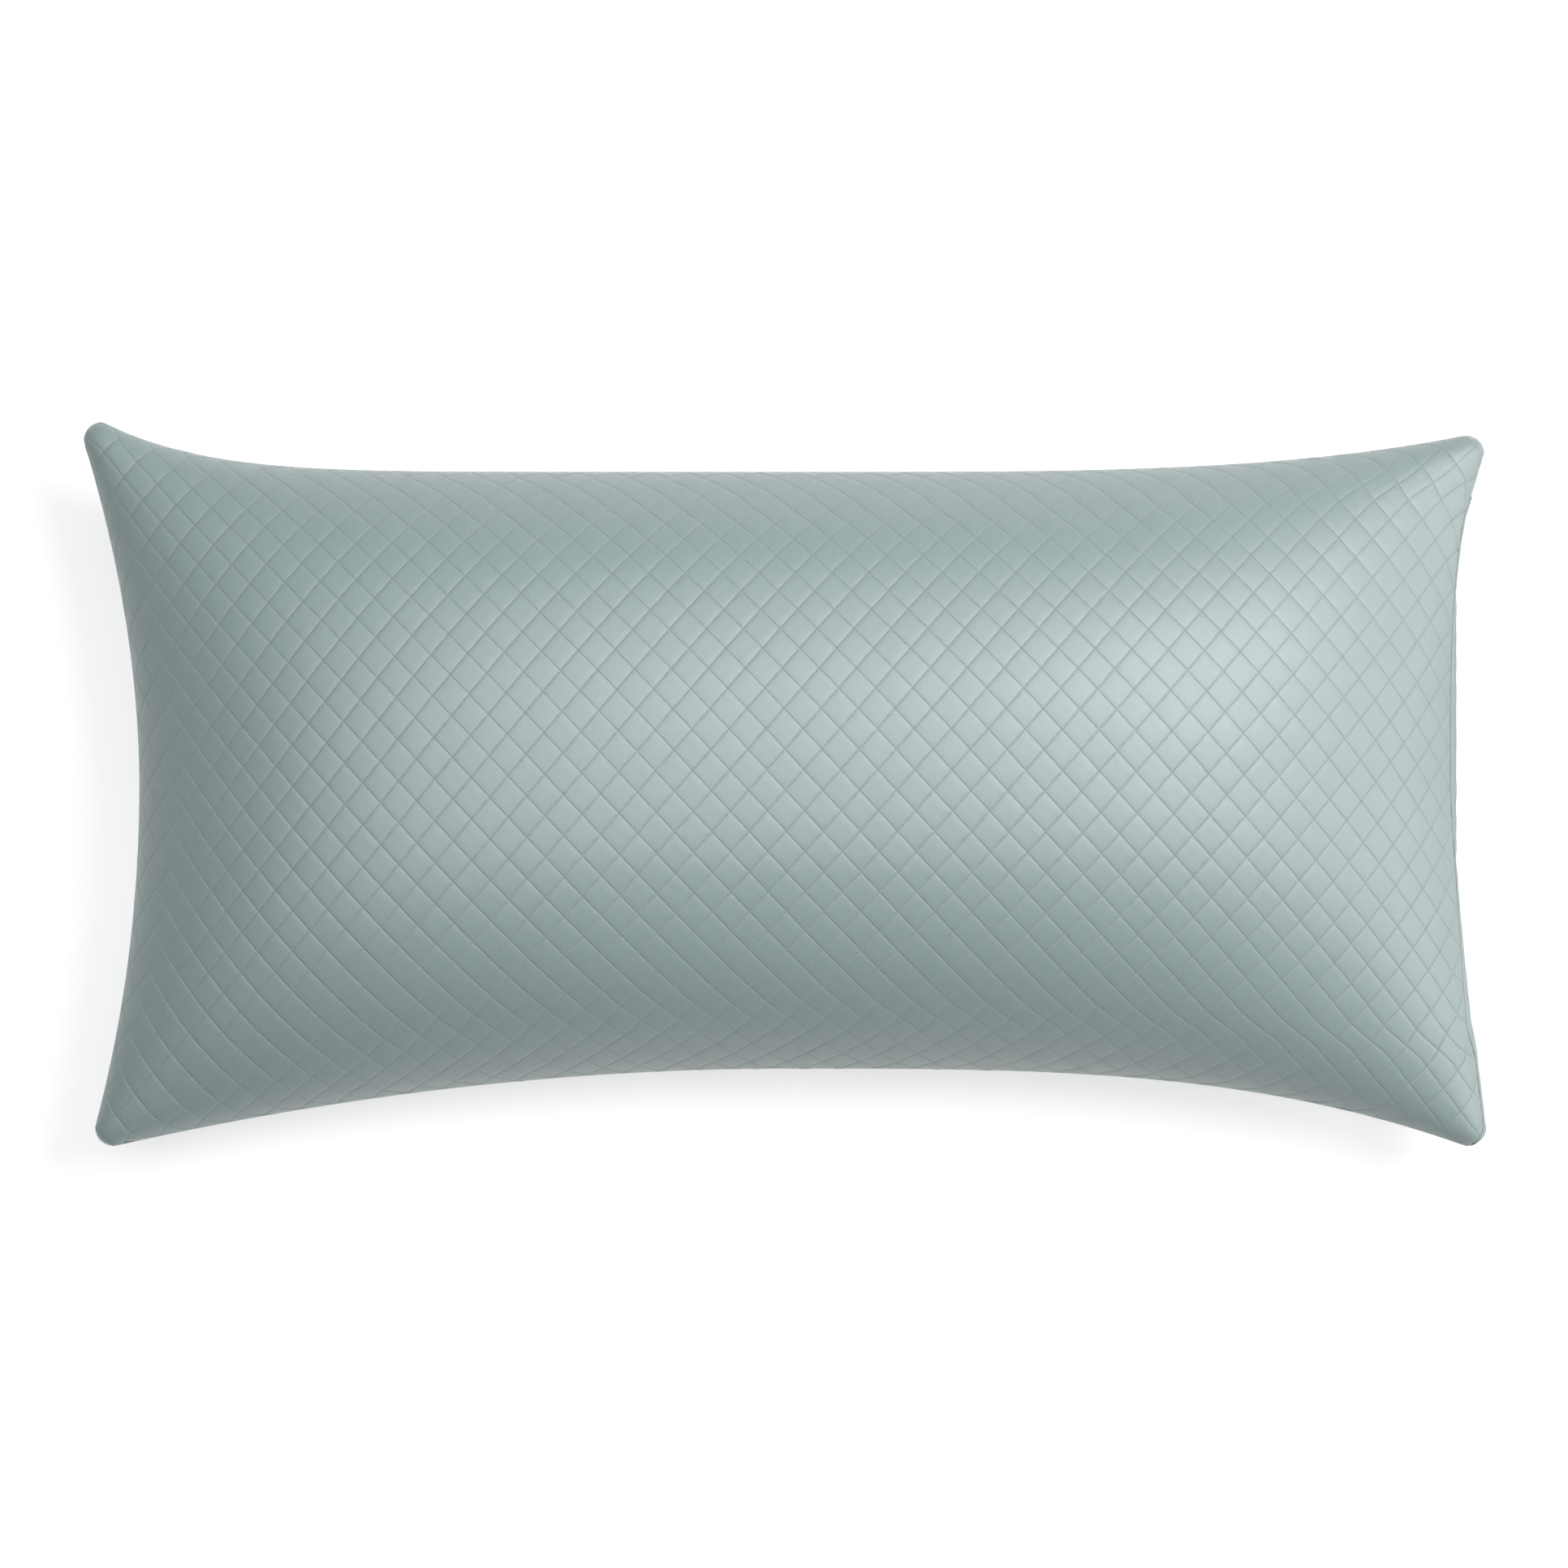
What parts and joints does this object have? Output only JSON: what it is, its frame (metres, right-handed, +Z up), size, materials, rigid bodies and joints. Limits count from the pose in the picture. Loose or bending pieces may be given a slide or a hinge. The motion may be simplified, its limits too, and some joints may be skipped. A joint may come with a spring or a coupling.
{
  "type": "bed pillow",
  "caption": "Long plump bed pillow in a diamond-quilted satin cover with soft corner ears, drawn-in sides and a zip in one short side.",
  "frame": {"origin": "on the surface the pillow rests on, under the middle of its box", "axes": "+X along the pillow towards the zipped short side, +Y across it, +Z up through the front panel"},
  "size_m": [0.8792, 0.4538, 0.18],
  "materials": {
    "satin_microfibre": "grey-green satin microfibre, fine weave, soft sheen, diamond quilting in welded dashes",
    "wadding": "lofty white polyester wadding",
    "backing": "thin spunbond backing",
    "thread": "polyester sewing thread",
    "overlocked_edge": "overlocked cut edges",
    "liner_cloth": "plain white woven liner",
    "liner_thread": "white sewing thread",
    "polyester_fibre": "loose white hollow fibre",
    "zip_tape": "herringbone woven zip tape",
    "zip_coil": "nylon coil, semi-gloss",
    "zip_stops": "nickel-plated",
    "lacquered_zinc": "colour-matched lacquer on die-cast zinc",
    "label_satin": "white woven satin, blank"
  },
  "bodies": {
    "pillow": {"front_face_fabric": "satin_microfibre", "front_wadding": "wadding", "front_backing": "backing", "back_face_fabric": "satin_microfibre", "back_wadding": "wadding", "back_backing": "backing", "seam_thread": "thread", "seam_allowance": "overlocked_edge", "liner_front": "liner_cloth", "liner_back": "liner_cloth", "liner_seam_thread": "liner_thread", "fibre_fill": "polyester_fibre", "zip_facing_front": "satin_microfibre", "zip_facing_back": "satin_microfibre", "zip_tape_front": "zip_tape", "zip_tape_back": "zip_tape", "zip_teeth_front": "zip_coil", "zip_teeth_back": "zip_coil", "zip_top_stop_front": "zip_stops", "zip_top_stop_back": "zip_stops", "zip_bottom_stop": "zip_stops", "care_label": "label_satin"},
    "slider": {"zip_slider": "lacquered_zinc"},
    "pull": {"zip_pull": "lacquered_zinc"}
  },
  "joints": [
    {"name": "zip_slide", "type": "slide", "parent": "pillow", "child": "slider", "axis": [0, 1, 0], "range_m": [0, 0.265]},
    {"name": "pull_hinge", "type": "hinge", "parent": "slider", "child": "pull", "pos_m": [0.423, -0.1216, 0.078], "axis": [0, 0, -1], "range_deg": [0, 150]}
  ]
}
